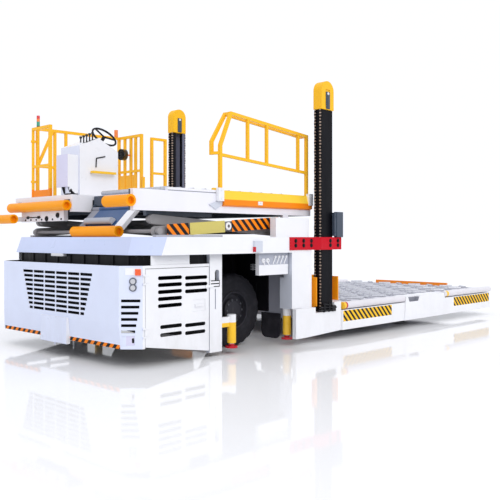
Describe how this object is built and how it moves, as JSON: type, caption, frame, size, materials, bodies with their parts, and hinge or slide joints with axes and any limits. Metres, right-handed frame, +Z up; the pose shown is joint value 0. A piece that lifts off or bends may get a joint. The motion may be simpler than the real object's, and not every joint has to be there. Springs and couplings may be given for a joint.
{
  "type": "scissor lift cargo loader",
  "caption": "Airport cargo loader: louvred engine housing, scissor-lifted bridge with operator platform, and a low roller platform raised on telescopic masts.",
  "frame": {"origin": "on the ground, at mid length and mid width", "axes": "+X forward to the bridge end, +Y to the vehicle's left, +Z up"},
  "size_m": [8.07, 3.3279, 3.527],
  "materials": {
    "white_paint": "gloss",
    "dark_steel": "satin",
    "grey_paint": "satin",
    "black_paint": "satin",
    "rubber": "matte",
    "tyre": "matte",
    "steel": "satin",
    "red_paint": "gloss",
    "yellow_paint": "gloss",
    "yellow_foam": "matte",
    "lamp": "gloss"
  },
  "bodies": {
    "chassis": {"front_housing": "white_paint", "tow_panel": "white_paint", "engine_block": "dark_steel", "deck_frame": "white_paint", "side_posts": "white_paint", "wheel_bulkheads": "white_paint", "mudflaps": "rubber", "side_legs": "white_paint", "mast_columns": "dark_steel", "anchor_chains": "steel", "mast_brackets": "red_paint", "control_boxes": "white_paint", "front_axle": "dark_steel", "rear_axle": "dark_steel", "front_lamps": "lamp", "tail_lamps": "lamp", "scissor_tracks": "dark_steel", "jack_barrels": "yellow_paint"},
    "knuckle_left": {"steer_knuckle_left": "dark_steel"},
    "knuckle_right": {"steer_knuckle_right": "dark_steel"},
    "front_wheel_left": {"front_tyre_left": "tyre", "front_rim_left": "black_paint"},
    "front_wheel_right": {"front_tyre_right": "tyre", "front_rim_right": "black_paint"},
    "rear_wheel_left": {"rear_wheel_left": "tyre"},
    "rear_wheel_right": {"rear_wheel_right": "tyre"},
    "door_left": {"side_door_left": "white_paint"},
    "door_right": {"side_door_right": "white_paint"},
    "jacks": {"jack_rods": "red_paint"},
    "scissor_inner": {"scissor_inner_arms": "grey_paint"},
    "scissor_outer": {"scissor_outer_arms": "grey_paint"},
    "bridge": {"bridge_frame": "white_paint", "bridge_rollers": "steel", "toe_board": "yellow_paint", "guard_rails": "yellow_paint", "bridge_bumpers": "yellow_foam", "operator_platform": "white_paint", "operator_rails": "yellow_paint", "control_console": "white_paint", "steering_wheel": "black_paint", "warning_lights": "lamp"},
    "gate": {"operator_gate": "yellow_paint"},
    "flap": {"front_flap": "grey_paint", "flap_bumper": "yellow_foam"},
    "platform": {"platform_frame": "white_paint", "platform_rollers": "steel", "side_tubes": "white_paint", "lift_carriages": "yellow_paint", "tube_lamps": "lamp"},
    "mast_heads": {"inner_masts": "dark_steel", "mast_caps": "yellow_paint", "head_chains": "steel"}
  },
  "joints": [
    {"name": "steer_left", "type": "hinge", "parent": "chassis", "child": "knuckle_left", "pos_m": [2.045, 0.82, 0.47], "axis": [0, 0, 1], "range_deg": [-35, 35]},
    {"name": "steer_right", "type": "hinge", "parent": "chassis", "child": "knuckle_right", "pos_m": [2.045, -0.82, 0.47], "axis": [0, 0, 1], "range_deg": [-35, 35]},
    {"name": "front_spin_left", "type": "hinge", "parent": "knuckle_left", "child": "front_wheel_left", "pos_m": [2.045, 0.92, 0.47], "axis": [0, 1, 0], "continuous": true},
    {"name": "front_spin_right", "type": "hinge", "parent": "knuckle_right", "child": "front_wheel_right", "pos_m": [2.045, -0.92, 0.47], "axis": [0, 1, 0], "continuous": true},
    {"name": "rear_spin_left", "type": "hinge", "parent": "chassis", "child": "rear_wheel_left", "pos_m": [-1.955, 1, 0.19], "axis": [0, 1, 0], "continuous": true},
    {"name": "rear_spin_right", "type": "hinge", "parent": "chassis", "child": "rear_wheel_right", "pos_m": [-1.955, -1, 0.19], "axis": [0, 1, 0], "continuous": true},
    {"name": "door_left_swing", "type": "hinge", "parent": "chassis", "child": "door_left", "pos_m": [3.79, 1.465, 0.6], "axis": [0, 0, -1], "range_deg": [0, 100]},
    {"name": "door_right_swing", "type": "hinge", "parent": "chassis", "child": "door_right", "pos_m": [3.79, -1.465, 0.6], "axis": [0, 0, 1], "range_deg": [0, 100]},
    {"name": "jack_stroke", "type": "slide", "parent": "chassis", "child": "jacks", "axis": [0, 0, -1], "range_m": [0, 0.065]},
    {"name": "scissor_lift", "type": "hinge", "parent": "chassis", "child": "scissor_inner", "pos_m": [1.385, 0, 1.475], "axis": [0, -1, 0], "range_deg": [0, 51]},
    {"name": "scissor_cross", "type": "hinge", "parent": "scissor_inner", "child": "scissor_outer", "pos_m": [2.445, 0, 1.5425], "axis": [0, 1, 0], "range_deg": [0, 102]},
    {"name": "bridge_level", "type": "hinge", "parent": "scissor_outer", "child": "bridge", "pos_m": [1.385, 0, 1.61], "axis": [0, -1, 0], "range_deg": [0, 51]},
    {"name": "gate_swing", "type": "hinge", "parent": "bridge", "child": "gate", "pos_m": [3.385, -1.633, 2.4], "axis": [0, 0, -1], "range_deg": [0, 95]},
    {"name": "flap_fold", "type": "hinge", "parent": "bridge", "child": "flap", "pos_m": [3.365, 0.32, 1.762], "axis": [0, -1, 0], "range_deg": [0, 45]},
    {"name": "platform_lift", "type": "slide", "parent": "chassis", "child": "platform", "axis": [0, 0, 1], "range_m": [0, 3.05]},
    {"name": "mast_extend", "type": "slide", "parent": "chassis", "child": "mast_heads", "axis": [0, 0, 1], "range_m": [0, 1.53]}
  ],
  "couplings": [
    {"joint": "steer_right", "follows": "steer_left", "ratio": 1},
    {"joint": "scissor_cross", "follows": "scissor_lift", "ratio": 2},
    {"joint": "bridge_level", "follows": "scissor_lift", "ratio": 1},
    {"joint": "mast_extend", "follows": "platform_lift", "ratio": 0.5}
  ]
}
